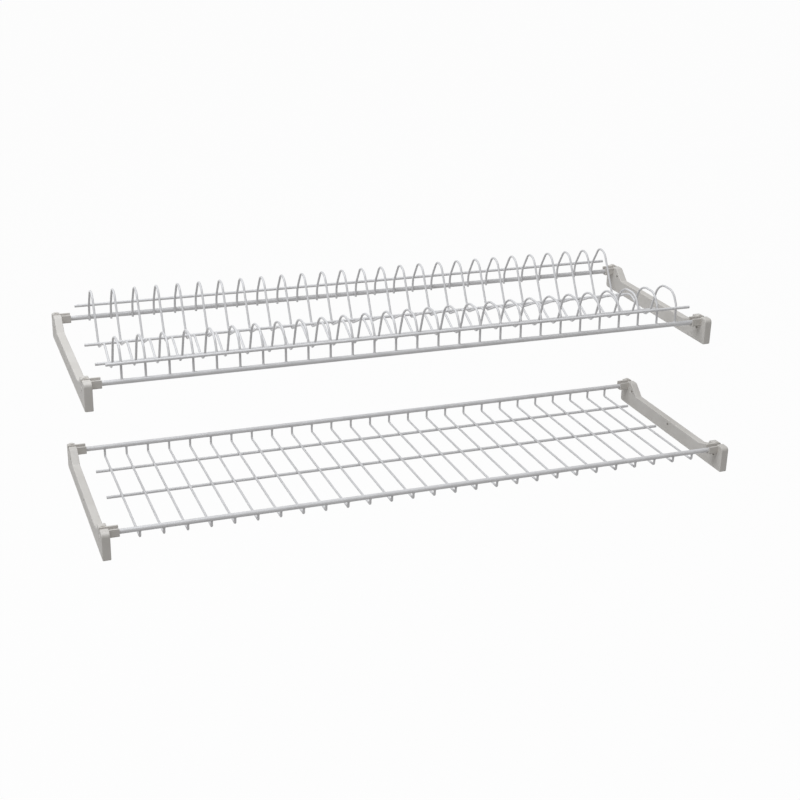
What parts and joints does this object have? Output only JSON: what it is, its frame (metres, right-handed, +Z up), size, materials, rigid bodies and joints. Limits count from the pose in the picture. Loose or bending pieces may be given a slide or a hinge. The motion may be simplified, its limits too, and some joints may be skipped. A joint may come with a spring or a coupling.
{
  "type": "cabinet dish drainer",
  "caption": "Dish drainer for a wall cabinet: a plate rack of looped wire dividers above a cranked wire cup shelf, both lifted out of open seats in moulded side brackets.",
  "frame": {"origin": "middle of the whole part's box, half way between the cabinet walls", "axes": "+X along the rods to the right seen from the front, -Y towards the front, +Z up"},
  "size_m": [0.864, 0.362, 0.2385],
  "materials": {
    "coated_wire": "satin white polymer coating over steel wire",
    "moulded_plastic": "fine matt moulded plastic, warm light grey"
  },
  "bodies": {
    "side_brackets": {"cup_rack_left_bracket": "moulded_plastic", "cup_rack_right_bracket": "moulded_plastic", "plate_rack_left_bracket": "moulded_plastic", "plate_rack_right_bracket": "moulded_plastic"},
    "plate_rack": {"plate_divider_01": "coated_wire", "plate_divider_02": "coated_wire", "plate_divider_03": "coated_wire", "plate_divider_04": "coated_wire", "plate_divider_05": "coated_wire", "plate_divider_06": "coated_wire", "plate_divider_07": "coated_wire", "plate_divider_08": "coated_wire", "plate_divider_09": "coated_wire", "plate_divider_10": "coated_wire", "plate_divider_11": "coated_wire", "plate_divider_12": "coated_wire", "plate_divider_13": "coated_wire", "plate_divider_14": "coated_wire", "plate_divider_15": "coated_wire", "plate_divider_16": "coated_wire", "plate_divider_17": "coated_wire", "plate_divider_18": "coated_wire", "plate_divider_19": "coated_wire", "plate_divider_20": "coated_wire", "plate_divider_21": "coated_wire", "plate_divider_22": "coated_wire", "plate_divider_23": "coated_wire", "plate_divider_24": "coated_wire", "plate_divider_25": "coated_wire", "plate_divider_26": "coated_wire", "plate_divider_27": "coated_wire", "plate_rack_back_rod": "coated_wire", "plate_rack_back_trough_rail": "coated_wire", "plate_rack_front_rail": "coated_wire", "plate_rack_front_rod": "coated_wire", "plate_rack_front_trough_rail": "coated_wire", "plate_rack_top_rail": "coated_wire"},
    "cup_rack": {"cup_rack_back_rail": "coated_wire", "cup_rack_back_rod": "coated_wire", "cup_rack_front_rail": "coated_wire", "cup_rack_front_rod": "coated_wire", "shelf_wires_01_to_03": "coated_wire", "shelf_wires_04_to_06": "coated_wire", "shelf_wires_07_to_09": "coated_wire", "shelf_wires_10_to_12": "coated_wire", "shelf_wires_13_to_15": "coated_wire", "shelf_wires_16_to_18": "coated_wire", "shelf_wires_19_to_21": "coated_wire", "shelf_wires_22_to_24": "coated_wire", "shelf_wires_25_to_27": "coated_wire"}
  },
  "joints": [
    {"name": "plate_rack_lift", "type": "slide", "parent": "side_brackets", "child": "plate_rack", "axis": [0, 0, 1], "range_m": [0, 0.06]},
    {"name": "cup_rack_lift", "type": "slide", "parent": "side_brackets", "child": "cup_rack", "axis": [0, 0, 1], "range_m": [0, 0.06]}
  ]
}
